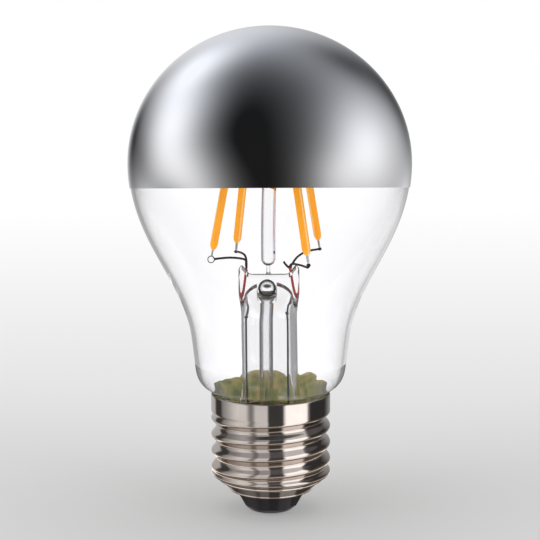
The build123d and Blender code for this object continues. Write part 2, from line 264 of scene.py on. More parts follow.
def bumped(tree, shader, height, strength, distance):
    """Gives a shader a fine relief, with its distance in millimetres."""
    inputs = {"Height": height, "Strength": strength, "Distance": distance * MM}
    tree.links.new(add_node(tree, "ShaderNodeBump", inputs).outputs[0], shader.inputs["Normal"])


# Blown soda-lime glass: clear, with a slight cool cast and the faint waves that blowing leaves.
blown_glass, tree, shader, seen = new_material("blown soda-lime glass")
shader.inputs["Transmission Weight"].default_value = 1.0
shader.inputs["IOR"].default_value = 1.51
shader.inputs["Roughness"].default_value = 0.0
wave_width = 9.0
waves = noise(tree, seen, wave_width)
cast = blend(tree, waves, linear("#FFFFFF"), linear("#FCFCFE"))
tree.links.new(cast, shader.inputs["Base Color"])
bumped(tree, shader, waves, 0.02, 0.05)

bulb_wall = bulb_side(0, 0) + bulb_side(belly_wall, neck_wall)[::-1]
bulb = grown("blown_bulb", [bulb_wall], turned, Steps=144, Material=blown_glass)
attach(bulb, "root")
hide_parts("glass_bulb")

# Mirror. A silver coat on the crown of the bulb, laid on in vacuum and cut off at a clean edge
# below the widest place. It shines on both faces.
mirror_edge_z = 71.0
coat_gap = 0.05
coat_thickness = 0.15

silver_coat, tree, shader, seen = new_material("vacuum silver coat")
shader.inputs["Metallic"].default_value = 1.0
cloud_width = 14.0
clouds = noise(tree, seen, cloud_width)
tone = blend(tree, clouds, linear("#F4F4F6"), linear("#ECECF0"))
tree.links.new(tone, shader.inputs["Base Color"])
haze = ranged(tree, clouds, to=(0.02, 0.05))
tree.links.new(haze, shader.inputs["Roughness"])


def crown_side(inset):
    """The bulb's profile from the top of the crown down to the mirror's edge."""
    whole = bulb_side(inset, inset)
    kept = [p for p in whole if p[1] > mirror_edge_z]
    above, below = kept[-1], whole[len(kept)]
    reach = (above[1] - mirror_edge_z) / (above[1] - below[1])
    return kept + [(above[0] + reach * (below[0] - above[0]), mirror_edge_z)]


mirror_wall = crown_side(-coat_gap - coat_thickness) + crown_side(-coat_gap)[::-1]
mirror = grown("mirror_coat", [mirror_wall], turned, Steps=180, Material=silver_coat)
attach(mirror, "root")
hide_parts("mirror_crown")

# Stem. One piece of lead glass: a flare that is sealed to the bulb's mouth, a tube, and a flat
# pinch that was squeezed shut on the wires while soft, with an arched hollow under it.
flange_z = 19.8
flange_gap = 0.03
stem_radius = 6.1
stem_bore = 5.2
flare_top_z = 31.4
flare_wall = 0.9
flare_handle_out, flare_handle_up, flare_handle_down = 0.25, 0.08, 0.55
mouth_radius = spigot_radius - neck_wall
pinch_start_z, pinch_height = 43.0, 6.0
tube_end_z = pinch_start_z - 1
pinch_half_depth = 2.0
pinch_half_width = 6.65
saddle_z = 52.4
ear_start, ear_width, ear_rise = 3.6, 2.4, 1.9
corner_start, corner_width, corner_drop = 5.9, 0.75, 0.9
edge_drop = 0.9
roof_foot_z = 47.3
roof_half_width, roof_rise = 5.25, 3.5
slot_half_depth = 1.2
hole_x, hole_y, hole_z = -0.4, -1.5, 49.4
hole_ring_radius = 2.1
stem_columns, roof_rows, bore_rows, skin_rows = 160, 9, 24, 28
top_shares = (0.95, 0.86, 0.75, 0.62, 0.5, 0.4, 0.3, 0.2, 0.1, 0.0)
stem_lean, lean_start_z, lean_height = -0.27, 26.0, 10.0
bore_lean, bore_start_z, bore_end_z = -0.33, 22.0, 48.0
bore_start_height, bore_end_height = 8.0, 6.0


def ease(share):
    """Smooth step from 0 to 1."""
    share = min(max(share, 0.0), 1.0)
    return share * share * (3 - 2 * share)


def pinched(radius, half_width, half_depth, turn, squeeze):
    """A point on a round section of the stem that is squeezed to a flat one."""
    x, y = radius * math.cos(turn), radius * math.sin(turn)
    flat_y = y / (1 + abs(y / half_depth) ** 8) ** 0.125
    return x + squeeze * (half_width - radius) * math.cos(turn), y + squeeze * (flat_y - y)


def squeeze_at(z):
    """How far the tube is squeezed flat at a height."""
    return ease((z - pinch_start_z) / pinch_height)


def top_at(x, y):
    """Height of the pinch's top: a saddle with an ear at each side."""
    ear = ear_rise * ease((abs(x) - ear_start) / ear_width) ** 1.5
    rounding = corner_drop * max(0.0, (abs(x) - corner_start) / corner_width) ** 2
    return saddle_z + ear - rounding - edge_drop * abs(y / pinch_half_depth) ** 3


def roof_at(x):
    """Height of the hollow's roof: an arch that passes under the ring round the vent hole."""
    arch = roof_foot_z + roof_rise * math.sqrt(max(0.0, 1 - (x / roof_half_width) ** 2))
    off = abs(x - hole_x) / hole_ring_radius
    ring = hole_z - hole_ring_radius * (1 - off**3) ** (1 / 3) if off < 1 else arch
    return min(arch, ring)


def flare_at(foot, top_radius):
    """Profile of the flare from its foot up to the tube."""
    spread, rise = foot[0] - top_radius, flare_top_z - mouth_z
    low_handle = (top_radius + flare_handle_out * spread, foot[1] + flare_handle_up * rise)
    high_handle = (top_radius, flare_top_z - flare_handle_down * rise)
    return bezier([foot, low_handle, high_handle, (top_radius, flare_top_z)], 14)


def bore_shift(z):
    """How far the bore is off the tube's middle, which leaves its wall thicker at one side."""
    start = ease((z - bore_start_z) / bore_start_height)
    return bore_lean * start * ease((bore_end_z - z) / bore_end_height)


def stem_rings():
    """Rings of points from the roof of the hollow, down inside it and up the outside."""
    turns = [math.tau * (i + 0.5) / stem_columns for i in range(stem_columns)]
    rings = []

    def inner(turn, share):
        x = stem_bore * math.cos(turn)
        z = tube_end_z + share * (roof_at(x) - slot_half_depth - tube_end_z)
        x, y = pinched(stem_bore, stem_bore, slot_half_depth, turn, squeeze_at(z))
        return x + bore_shift(z), y, z

    def outer(turn, share):
        x, y = pinched(stem_radius, pinch_half_width, pinch_half_depth, turn, 1.0)
        z = tube_end_z + share * (top_at(x, y) - tube_end_z)
        return (*pinched(stem_radius, pinch_half_width, pinch_half_depth, turn, squeeze_at(z)), z)

    springs = [inner(turn, 1.0) for turn in turns]
    for step in range(roof_rows, 0, -1):
        t = math.pi / 2 * step / roof_rows
        rise, reach = slot_half_depth * math.sin(t), math.cos(t)
        rings.append([(x, y * reach, z + rise) for x, y, z in springs])
    for step in range(bore_rows, -1, -1):
        rings.append([inner(turn, step / bore_rows) for turn in turns])
    bore = flare_at((mouth_radius - flare_wall, flange_z), stem_bore)[::-1]
    skirt = flare_at((mouth_radius, mouth_z - flange_gap), stem_radius)
    rim = [(spigot_radius, flange_z), (spigot_radius, mouth_z - flange_gap)]
    for radius, z in bore:
        rings.append([(radius * math.cos(t) + bore_shift(z), radius * math.sin(t), z) for t in turns])
    for radius, z in rim + skirt:
        rings.append([(radius * math.cos(t), radius * math.sin(t), z) for t in turns])
    for step in range(skin_rows + 1):
        rings.append([outer(turn, step / skin_rows) for turn in turns])
    edge = [outer(turn, 1.0) for turn in turns]
    for share in top_shares:
        rings.append([(x, y * share, top_at(x, y * share)) for x, y, z in edge])
    return rings


def lofted(name, rings, material):
    """A closed mesh through rings of points, given in millimetres, with its faces outward."""
    shape = bmesh.new()
    made = [[shape.verts.new(Vector(p) * MM) for p in ring] for ring in rings]
    for low, high in zip(made, made[1:]):
        for i in range(len(low)):
            j = (i + 1) % len(low)
            shape.faces.new((low[i], low[j], high[j], high[i]))
    bmesh.ops.remove_doubles(shape, verts=shape.verts, dist=1e-6)
    bmesh.ops.recalc_face_normals(shape, faces=shape.faces)
    mesh = bpy.data.meshes.new(name)
    shape.to_mesh(mesh)
    shape.free()
    mesh.shade_smooth()
    mesh.materials.append(material)
    piece = bpy.data.objects.new(name, mesh)
    bpy.context.collection.objects.link(piece)
    return piece


# Drawn lead glass: clear in the middle, with fine draw lines, and edges painted darker the more the
# surface turns away, a painted shade, listed as tones from the face to the rim, on the left and on
# the right. Round the hollow the edges are painted darker still, and the vent holds a dark green
# patch, a painted image of the cement seen through it. At the foot the painted edge shade fades out.
line_width, line_length = 1.2, 30.0
clear_below_z, shaded_above_z = 28.0, 31.0
tube_edge_shade = [(0.6, "#FFFFFF"), (0.75, "#C6C4D0"), (1.0, "#C6C4D0")]
cane_edge_shade = [(0.15, "#FFFFFF"), (0.35, "#68646E"), (0.6, "#68646E"), (0.85, "#C8C4D2")]
pale_edge_shade = [(0.15, "#FFFFFF"), (0.4, "#BDB4BE"), (0.8, "#A8A0AC"), (1.0, "#C8C2CC")]
hollow_shade_tones = [(0.08, "#FFFFFF"), (0.4, "#2B2C26"), (1.0, "#24251F")]
# Painted edge shade for each glass, on the left and on the right; the rod is painted paler at its
# right.
edges = {
    "drawn lead glass tube": (tube_edge_shade, tube_edge_shade),
    "drawn lead glass cane": (cane_edge_shade, cane_edge_shade),
    "drawn lead glass rod": (cane_edge_shade, pale_edge_shade),
}
side_reach = 0.8
drawn_glasses = []
for glass_name, side_shade_tones in edges.items():
    material, tree, shader, seen = new_material(glass_name)
    shader.inputs["IOR"].default_value = 1.54
    shader.inputs["Roughness"].default_value = 0.0
    drawn = add_node(
        tree,
        "ShaderNodeMapping",
        {"Vector": seen, "Scale": [1 / (s * MM) for s in (line_width, line_width, line_length)]},
    )
    lines = add_node(tree, "ShaderNodeTexNoise", {"Vector": drawn.outputs[0], "Scale": 1.0})
    # The facing tones darken the glass towards its edges: painted shade.
    facing = add_node(tree, "ShaderNodeLayerWeight", {"Blend": 0.5}).outputs["Facing"]
    left, right, hollow_shade = (ramp(tree, facing, tones) for tones in (*side_shade_tones, hollow_shade_tones))
    at = add_node(tree, "ShaderNodeSeparateXYZ", {"Vector": seen})
    side = ranged(tree, at.outputs["X"], (-side_reach * MM, side_reach * MM))
    cast = blend(tree, side, left, right)
    at_foot = ranged(tree, at.outputs["Z"], (clear_below_z * MM, shaded_above_z * MM), (0.8, 0.0))
    cast = blend(tree, at_foot, cast, linear("#FFFFFF"))
    turned_off = ranged(tree, facing, (0.2, 0.45), (0.0, 0.75))
    painted_cover = 0.0
    # Painted shade at the edges round the hollow, and a painted image of the cement in the vent; both
    # also let less light through.
    for label, tone, share in (("shaded_hollow", hollow_shade, turned_off), ("cement_image", linear("#0C120A"), 0.5)):
        amount = add_node(tree, "ShaderNodeAttribute", attribute_name=label).outputs["Fac"]
        cast = blend(tree, amount, cast, tone)
        painted_cover = maths(tree, "MULTIPLY_ADD", amount, share, painted_cover)
    tree.links.new(cast, shader.inputs["Base Color"])
    clearness = maths(tree, "SUBTRACT", 1.0, painted_cover, use_clamp=True)
    tree.links.new(clearness, shader.inputs["Transmission Weight"])
    bumped(tree, shader, lines.outputs[0], 0.05, 0.03)
    drawn_glasses.append(material)
tube_glass, cane_glass, rod_glass = drawn_glasses

stem = lofted("pinched_stem", stem_rings(), tube_glass)

# The vent was blown out from the exhaust tube, so it is a round bubble that is open to the front.
bubble_radius = 1.95
hollow_low_z, hollow_high_z = 45.5, 51.2
skin_reach = 0.05
# Size and place of the dark green patch at the back of the vent: a painted image of the green cement
# seen through the glass.
image_half_width, image_half_height, image_rise = 1.0, 0.5, 0.3
image_core, image_fade = 0.6, 0.6
vent_rows, vent_columns = 32, 64
vent_line = []
for step in range(vent_rows + 1):
    t = math.pi * step / vent_rows
    vent_line.append((bubble_radius * math.sin(t), hole_y - bubble_radius * math.cos(t)))
turns = [math.tau * i / vent_columns for i in range(vent_columns)]
cutter = lofted(
    "vent_cutter",
    [[(hole_x + r * math.cos(t), y, hole_z + r * math.sin(t)) for t in turns] for r, y in vent_line],
    tube_glass,
)
drill = stem.modifiers.new("vent", "BOOLEAN")
drill.object = cutter
drill.operation = "DIFFERENCE"
drill.solver = "EXACT"
drilled = stem.evaluated_get(bpy.context.evaluated_depsgraph_get())
drilled_mesh = bpy.data.meshes.new_from_object(drilled)
stem.modifiers.remove(drill)
stem.data = drilled_mesh
stem.data.set_sharp_from_angle(angle=math.radians(40))
bpy.data.objects.remove(cutter)
# Marks the hollow and the vent, where the glass edges are painted darker: painted shade.
shaded_hollow = stem.data.attributes.new("shaded_hollow", "FLOAT", "POINT")
cement_image = stem.data.attributes.new("cement_image", "FLOAT", "POINT")
for vertex in stem.data.vertices:
    x, y, z = vertex.co / MM
    in_vent = math.dist((x, y, z), (hole_x, hole_y, hole_z)) < bubble_radius + skin_reach
    in_slot = abs(x) < stem_bore + 0.02 and abs(y) < slot_half_depth + skin_reach
    in_hollow = in_slot and hollow_low_z < z < hollow_high_z
    # The painted image of the cement, at the back of the vent.
    off = math.hypot((x - hole_x) / image_half_width, (z - hole_z - image_rise) / image_half_height)
    image_share = 1 - ease((off - image_core) / image_fade)
    shaded_hollow.data[vertex.index].value = 1.0 if in_vent or in_hollow else 0.0
    cement_image.data[vertex.index].value = image_share if in_vent and y > hole_y else 0.0
    vertex.co.x += stem_lean * MM * ease((z - lean_start_z) / lean_height)
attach(stem, "root")
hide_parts("stem_flare")

# Exhaust tube. A thin glass tube fused under the vent hole, through which the bulb was pumped out
# and filled, and then melted shut at its lower end.
exhaust_x = -0.75
exhaust_radius, exhaust_bore = 1.5, 0.95
exhaust_top_z, exhaust_lip_z = 46.9, 47.25
tip_top_z, tip_bore_z, tip_z = 20.0, 17.2, 16.2
tip_handle_radius, tip_handle_z = 1.3, 17.6
bore_handle_radius, bore_handle_z = 0.6, 18.2
outside_top, outside_foot = (exhaust_radius, exhaust_top_z), (exhaust_radius, tip_top_z)
inside_top, inside_foot = (exhaust_bore, exhaust_top_z), (exhaust_bore, tip_top_z)
lip_middle = ((exhaust_radius + exhaust_bore) / 2, exhaust_lip_z)
bore_handle = (bore_handle_radius, tip_bore_z)
tube_wall = (
    bezier(
        [(0, tip_z), (tip_handle_radius, tip_z), (exhaust_radius, tip_handle_z), outside_foot], 10
    )
    + bezier([outside_foot, outside_top], 12)
    + bezier([outside_top, (exhaust_radius, exhaust_lip_z), lip_middle], 5)
    + bezier([lip_middle, (exhaust_bore, exhaust_lip_z), inside_top], 5)
    + bezier([inside_top, inside_foot], 12)
    + bezier([inside_foot, (exhaust_bore, bore_handle_z), bore_handle, (0, tip_bore_z)], 8)
    + [(0, tip_bore_z)]
)
exhaust = grown("exhaust_tube_glass", [tube_wall], turned, Steps=48, Material=cane_glass)
for vertex in exhaust.data.vertices:
    vertex.co.x += exhaust_x * MM
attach(exhaust, "root")
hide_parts("exhaust_tube")

# Rod. Solid glass rod with a round lower end that is drawn to a thin foot on the pinch, and a bead
# at the top that holds the filaments' upper wires.
rod_x, rod_lean_top_z, rod_lean_height = -0.4, 80.0, 20.0
rod_radius = 1.55
rod_end_z = 54.2
rod_foot_radius = 0.4
rod_top_z = 93.0
rod_bead_z = 91.6
rod_bead_radius = 2.0
rod_gap, fillet_width, fillet_height = 0.02, 0.2, 0.4
swell_height, swell_handle = 2.0, 1.2
rod_end_steps = 12
rod_end = []
for step in range(2, rod_end_steps):
    t = math.pi / 2 * step / rod_end_steps
    rod_end.append((rod_radius * math.sin(t), rod_end_z + rod_radius * (1 - math.cos(t))))
swell_start, bead_side = (rod_radius, rod_bead_z - swell_height), (rod_bead_radius, rod_bead_z)
rod_line = (
    [(0, saddle_z + rod_gap), (rod_foot_radius + fillet_width, saddle_z + rod_gap)]
    + [(rod_foot_radius, saddle_z + fillet_height), (rod_foot_radius, rod_end_z - fillet_width)]
    + rod_end
    + bezier([(rod_radius, rod_end_z + rod_radius), swell_start], 12)
    + bezier([swell_start, (rod_bead_radius, rod_bead_z - swell_handle), bead_side], 8)
    + bezier([bead_side, (rod_bead_radius, rod_top_z), (0, rod_top_z)], 8)
    + [(0, rod_top_z)]
)
rod = grown("support_rod_glass", [rod_line], turned, Steps=48, Material=rod_glass)
for vertex in rod.data.vertices:
    vertex.co.x += rod_x * MM * ease((rod_lean_top_z - vertex.co.z / MM) / rod_lean_height)
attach(rod, "root")
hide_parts("support_rod")

# Wires. Drawn nickel-iron wire bent by hand: an outer lead up each side of the stem tube, an inner
# lead and a branch to the filaments' feet, and two wires that join the filaments' tops. A filament
# is placed by its foot's bearing round the axis, the twist of its top from there and its lift.
left_x, right_x = -5.2, 4.05
board_z = 10.3
knot_z = 43.1
lead_radius = 0.24
weld_radius, bright_weld_radius = 0.45, 0.8
weld_squash, bright_weld_squash = (1.0, 1.0, 0.85), (1.0, 0.4, 1.0)
filament_length = 35.0
foot_ring, top_ring = 14.0, 6.8
foot_level_z = 56.0
filaments = {
    "left_front": (207.5, 0.0, 0.1),
    "right_front": (304.3, -7.2, -0.8),
    "left_rear": (124.2, 0.0, 0.5),
    "right_rear": (36.5, 0.0, 1.25),
}
feet, tops = {}, {}
for name, (bearing, twist, lift) in filaments.items():
    foot_turn, top_turn = math.radians(bearing), math.radians(bearing + twist)
    foot = Vector((foot_ring * math.cos(foot_turn), foot_ring * math.sin(foot_turn), 0))
    top = Vector((top_ring * math.cos(top_turn), top_ring * math.sin(top_turn), 0))
    top.z = foot_level_z + lift + math.sqrt(filament_length**2 - (foot - top).length_squared)
    foot.z = foot_level_z + lift
    feet[name], tops[name] = foot, top

wire, given = new_tree(
    "bent_wire", Radius="Float", Weld="Float", Squash="Vector", Start="Int", Material="Material"
)
path = add_node(wire, "GeometryNodeMeshToCurve", {"Mesh": given["Seed"]})
rounded = add_node(
    wire, "GeometryNodeCurveSplineType", {"Curve": path.outputs[0]}, spline_type="CATMULL_ROM"
)
fine = add_node(
    wire, "GeometryNodeSetSplineResolution", {"Geometry": rounded.outputs[0], "Resolution": 8}
)
section = add_node(
    wire, "GeometryNodeCurvePrimitiveCircle", {"Resolution": 12, "Radius": given["Radius"]}
)
drawn_out = add_node(
    wire,
    "GeometryNodeCurveToMesh",
    {"Curve": fine.outputs[0], "Profile Curve": section.outputs[0], "Fill Caps": True},
)
ends = add_node(
    wire, "GeometryNodeCurveEndpointSelection", {"Start Size": given["Start"], "End Size": 1}
)
drop = add_node(
    wire, "GeometryNodeMeshIcoSphere", {"Radius": given["Weld"], "Subdivisions": 3}
)
welds = add_node(
    wire,
    "GeometryNodeInstanceOnPoints",
    {
        "Points": rounded.outputs[0],
        "Selection": ends.outputs[0],
        "Instance": drop.outputs[0],
        "Scale": given["Squash"],
    },
)
joined = add_node(wire, "GeometryNodeJoinGeometry")
wire.links.new(drawn_out.outputs[0], joined.inputs[0])
wire.links.new(welds.outputs[0], joined.inputs[0])
end_tree(wire, joined.outputs[0], given["Material"])

# Annealed nickel-iron: dull, nearly black, with brown heat tints in patches. The weld drop at the
# left front foot is painted white and glows by itself: a painted highlight.
lead_wire, tree, shader, seen = new_material("annealed nickel-iron wire")
patch_width = 2.5
patches = noise(tree, seen, patch_width)
tint = ramp(tree, patches, [(0.35, "#120E0D"), (0.7, "#43281F")])
from_weld = add_node(
    tree, "ShaderNodeVectorMath", {0: seen, 1: feet["left_front"] * MM}, operation="DISTANCE"
)
weld_highlight = ranged(
    tree,
    from_weld.outputs["Value"],
    ((bright_weld_radius - 0.25) * MM, (bright_weld_radius - 0.1) * MM),
    (1.0, 0.0),
)
surface = blend(tree, weld_highlight, tint, linear("#F4F1EE"))
tree.links.new(surface, shader.inputs["Base Color"])
bare = ranged(tree, weld_highlight, to=(0.5, 0.0))
tree.links.new(bare, shader.inputs["Metallic"])
shader.inputs["Emission Color"].default_value = linear("#FFFFFF")
# The weld's glow is painted light.
lit_weld = maths(tree, "MULTIPLY", weld_highlight, 0.6)
tree.links.new(lit_weld, shader.inputs["Emission Strength"])
dull = ranged(tree, patches, to=(0.45, 0.65))
tree.links.new(dull, shader.inputs["Roughness"])

runs = {
    "outer_lead_left": [
        (left_x + 0.4, 0, board_z),
        (left_x + 0.1, 0.1, 22),
        (left_x + 0.04, -0.1, 33),
        (left_x, 0, knot_z),
    ],
    "outer_lead_right": [
        (right_x, 0, board_z),
        (right_x - 0.08, 0.1, 21),
        (right_x + 0.02, 0, 32),
        (right_x, 0, knot_z + 0.3),
    ],
    "inner_lead_left": [
        (-5.2, 0, 53.2),
        (-5.25, -0.02, 54.5),
        (-5.6, -0.25, 55.6),
        (-8.6, -3.1, 56.2),
        feet["left_front"],
    ],
    "inner_lead_right": [
        (4.35, 0.1, 53.9),
        (4.5, -0.3, 54.4),
        (5.1, -1.8, 54.7),
        (6.5, -6.2, 54.75),
        (7.72, -11.0, 54.7),
        feet["right_front"],
    ],
    "branch_wire_left": [
        (-5.15, 0.5, 53.7),
        (-5.2, 0.55, 55.4),
        (-5.6, 1.8, 56.4),
        (-6.6, 5.0, 56.75),
        feet["left_rear"],
    ],
    "branch_wire_right": [
        (2.95, 0.5, 55.05),
        (3.5, 0.5, 54.3),
        (4.3, 0.5, 53.9),
        (6.0, 2.2, 55.9),
        (8.2, 4.6, 56.95),
        feet["right_rear"],
    ],
    "top_wire_front": [
        tops["left_front"],
        (-4.4, -1.6, 91.2),
        (-2.6, -0.75, 91.6),
        (2.6, -0.75, 91.6),
        (3.3, -2.8, 90.8),
        tops["right_front"],
    ],
    "top_wire_rear": [
        tops["left_rear"],
        (-3.6, 2.6, 91.5),
        (-2.6, 0.75, 91.6),
        (2.6, 0.75, 91.6),
        (3.8, 1.8, 91.5),
        tops["right_rear"],
    ],
}
for name, line in runs.items():
    bright = name == "inner_lead_left"
    piece = grown(
        "bent_" + name,
        [line],
        wire,
        Radius=lead_radius * MM,
        Weld=(bright_weld_radius if bright else weld_radius) * MM,
        Squash=bright_weld_squash if bright else weld_squash,
        Start=1 if name == "inner_lead_right" else 0,
        Material=lead_wire,
    )
    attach(piece, "root")
    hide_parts(name)

# Seal wires. Copper-clad wire that the pinch grips, dark red where the glass has wetted it and
# nearly black below, where it stands in air and is knotted to the outer lead. It also glows a
# little in its own colour: painted light.
seal_radius, knot_radius = 0.27, 0.36
seal_lines = {
    "left": [(-5.1, 43.5), (-5.1, 45.2), (-5.95, 46.7), (-5.95, 47.7), (-5.6, 50.2), (-5.2, 53.2)],
    "right": [(4.2, 43.8), (4.4, 45.4), (5.55, 45.6), (5.6, 46.6), (4.95, 50.0), (4.35, 53.6)],
}
glass_line_z, glass_line_blur = 46.2, 0.6

copper_clad, tree, shader, seen = new_material("copper-clad seal wire")
height = add_node(tree, "ShaderNodeSeparateXYZ", {"Vector": seen}).outputs["Z"]
speck_width = 0.6
specks = noise(tree, seen, speck_width)
wet = ranged(
    tree, height, ((glass_line_z - glass_line_blur) * MM, (glass_line_z + glass_line_blur) * MM)
)
red = blend(tree, specks, linear("#B01812"), linear("#DC4238"))
clad = blend(tree, wet, linear("#1E1614"), red)
tree.links.new(clad, shader.inputs["Base Color"])
# The wire's own colour also glows faintly: painted light.
tree.links.new(clad, shader.inputs["Emission Color"])
shader.inputs["Emission Strength"].default_value = 0.2
shader.inputs["Roughness"].default_value = 0.45
for side, seal_line in seal_lines.items():
    piece = grown(
        "clad_seal_" + side,
        [seal_line],
        wire,
        Radius=seal_radius * MM,
        Weld=knot_radius * MM,
        Squash=(1.0, 1.0, 1.0),
        Start=0,
        Material=copper_clad,
    )
    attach(piece, "root")
    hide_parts("dumet_seal_" + side)

# Filaments. A ceramic strip set with diodes, in a soft coat of silicone and yellow phosphor with
# rounded ends, and a flat metal tab at each end that is welded to the wires.
bare_end = 2.0
coat_half_width = 0.95
coat_half_depth = 0.8
coat_end_length = 1.5

# The tree for a coat: a grid whose rows run along the filament and whose columns go round it.
coat, given = new_tree(
    "phosphor_coat",
    Foot="Vector",
    Along="Vector",
    Wide="Vector",
    Deep="Vector",
    Length="Float",
    Ends="Float",
    Material="Material",
)
coat_rows, coat_columns = 72, 24
grid = add_node(
    coat,
    "GeometryNodeMeshGrid",
    {"Size X": 1.0, "Size Y": 1.0, "Vertices X": coat_rows, "Vertices Y": coat_columns + 1},
)
place = add_node(coat, "GeometryNodeInputPosition")
flat = add_node(coat, "ShaderNodeSeparateXYZ", {"Vector": place.outputs[0]})
run = maths(coat, "MULTIPLY", flat.outputs["X"], math.pi)
slide = maths(coat, "SINE", run)
reach = ranged(coat, slide, (-1.0, 1.0))
far = maths(coat, "MULTIPLY", reach, given["Length"])
left = maths(coat, "SUBTRACT", given["Length"], far)
near_end = maths(coat, "MINIMUM", far, left)
tip = ranged(coat, near_end, (0.0, given["Ends"]), (1.0, 0.0))
tip_square = maths(coat, "POWER", tip, 2.0)
fullness = maths(coat, "SUBTRACT", 1.0, tip_square)
girth = maths(coat, "SQRT", fullness)
turn = maths(coat, "MULTIPLY", flat.outputs["Y"], math.tau)
across = maths(coat, "COSINE", turn)
depth = maths(coat, "SINE", turn)
wide = maths(coat, "MULTIPLY", across, girth)
deep = maths(coat, "MULTIPLY", depth, girth)
point = given["Foot"]
for direction, amount in ((given["Along"], far), (given["Wide"], wide), (given["Deep"], deep)):
    point = add_node(
        coat,
        "ShaderNodeVectorMath",
        {0: direction, 1: amount, 2: point},
        operation="MULTIPLY_ADD",
    ).outputs[0]
marked = grid
for label, value in (("run", far), ("across", across)):
    marked = add_node(
        coat,
        "GeometryNodeStoreNamedAttribute",
        {"Geometry": marked.outputs[0], "Name": label, "Value": value},
        data_type="FLOAT",
        domain="POINT",
    )
skin = add_node(
    coat, "GeometryNodeSetPosition", {"Geometry": marked.outputs[0], "Position": point}
)
end_tree(coat, skin.outputs[0], given["Material"])

# Phosphor in silicone: a warm amber yellow, paler along the middle of the broad faces where the
# strip lies close under it, and slightly uneven where each diode sits. It glows by itself in its
# own colour, though the lamp is off: painted light.
phosphor, tree, shader, seen = new_material("phosphor silicone")
across = add_node(tree, "ShaderNodeAttribute", attribute_name="across").outputs["Fac"]
run = add_node(tree, "ShaderNodeAttribute", attribute_name="run").outputs["Fac"]
cloud_width = 3.0
clouds = noise(tree, seen, cloud_width)
amber = blend(tree, clouds, linear("#FFB01C"), linear("#FB9A10"))
diode_pitch = 1.15
beat = maths(tree, "MULTIPLY", run, math.tau / (diode_pitch * MM))
diodes = maths(tree, "SINE", beat)
off_middle = maths(tree, "ABSOLUTE", across)
core = ranged(tree, off_middle, (0.1, 0.3), (0.6, 0.0))
spotted = ranged(tree, diodes, (-1.0, 1.0), (0.75, 1.0))
pale = maths(tree, "MULTIPLY", core, spotted)
coat_colour = blend(tree, pale, amber, linear("#FBE3AE"))
tree.links.new(coat_colour, shader.inputs["Base Color"])
# The coat colour also glows: painted light.
tree.links.new(coat_colour, shader.inputs["Emission Color"])
shader.inputs["Emission Strength"].default_value = 0.55
shader.inputs["Roughness"].default_value = 0.35
shader.inputs["Specular IOR Level"].default_value = 0.2

# Alumina strip, hidden in the coat: matt white with a slight grain.
alumina, tree, shader, seen = new_material("sintered alumina")
grain_width = 0.4
grain = noise(tree, seen, grain_width)
white = blend(tree, grain, linear("#F2EFE8"), linear("#DAD5CB"))
tree.links.new(white, shader.inputs["Base Color"])
shader.inputs["Roughness"].default_value = 0.6

# Nickel tab: bright rolled strip with a fine, uneven sheen.
tab_nickel, tree, shader, seen = new_material("rolled nickel strip")
shader.inputs["Metallic"].default_value = 0.6
shader.inputs["Roughness"].default_value = 0.35
roll_width = 0.5
rolled = noise(tree, seen, roll_width)
nickel = blend(tree, rolled, linear("#F0EDE8"), linear("#CFCAC4"))
tree.links.new(nickel, shader.inputs["Base Color"])

for name, foot in feet.items():
    along = (tops[name] - foot).normalized()
    out = Vector((foot.x, foot.y, 0)).normalized()
    round_way = Vector((-out.y, out.x, 0))
    wide_way = (round_way - along * round_way.dot(along)).normalized()
    deep_way = along.cross(wide_way)
    piece = grown(
        "phosphor_coat_" + name,
        [[foot, tops[name]]],
        coat,
        Foot=(foot + along * bare_end) * MM,
        Along=along,
        Wide=wide_way * coat_half_width * MM,
        Deep=deep_way * coat_half_depth * MM,
        Length=(filament_length - 2 * bare_end) * MM,
        Ends=coat_end_length * MM,
        Material=phosphor,
    )
    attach(piece, "root")
    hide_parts("coating_" + name)
    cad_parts["strip_" + name].material_slots[0].material = alumina
    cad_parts["tabs_" + name].material_slots[0].material = tab_nickel

# Screw cap. Thin brass sheet, drawn to a cup, rolled to the round thread and nickel plated, with a
# plain collar above the thread, a rolled bead below it and a cone that holds the insulator.
lip_radius, lip_z = 9.1, 5.1
lip_roll = [(0.1, -0.04), (0.24, 0.02), (0.3, 0.14), (0.28, 0.26), (0.24, 0.36)]
lip_inside = [(-0.27, 0.05), (-0.15, 0.0), (-0.02, 0.03)]
ridge_radius, ridge_z = 11.2, 7.4
bead_roll = [(0.1, -0.2), (0.25, -0.17), (0.34, -0.1), (0.37, 0.0), (0.38, 0.1)]
bead_roll += [(0.38, 0.2), (0.37, 0.3), (0.35, 0.38), (0.3, 0.45)]
crest_radius = 13.1
shoulder_low_z, shoulder_z = 7.8, 8.9
collar_z = 22.6
wall_top_z, curl_z, rim_z = 25.84, 25.85, 26.2
sheet = 0.3
thread_pitch = 3.629
thread_depth = 1.05
crest_z = 15.42
run_out = 1.2


def cap_side(inset):
    """The cap's profile from its lip to its rim without the thread, set in from the outside."""
    lip = [(lip_radius + out, lip_z + up) for out, up in lip_roll]
    cone_top = (ridge_radius - 0.1, ridge_z - 0.22)
    bead = [(ridge_radius + out, ridge_z + up) for out, up in bead_roll]
    shoulder = []
    for i in range(1, 10):
        z = shoulder_low_z + (shoulder_z - shoulder_low_z) * i / 9
        swing = math.sin((z - ridge_z) / (shoulder_z - ridge_z) * math.pi / 2)
        shoulder.append((ridge_radius + (crest_radius - ridge_radius) * swing, z))
    wall = bezier([(crest_radius, shoulder_z), (crest_radius, wall_top_z)], 84)[1:]
    wall.append((crest_radius, wall_top_z))
    whole = lip[:-1] + bezier([lip[-1], cone_top], 6) + [cone_top] + bead + shoulder + wall
    return [(r - inset, z) for r, z in whole]


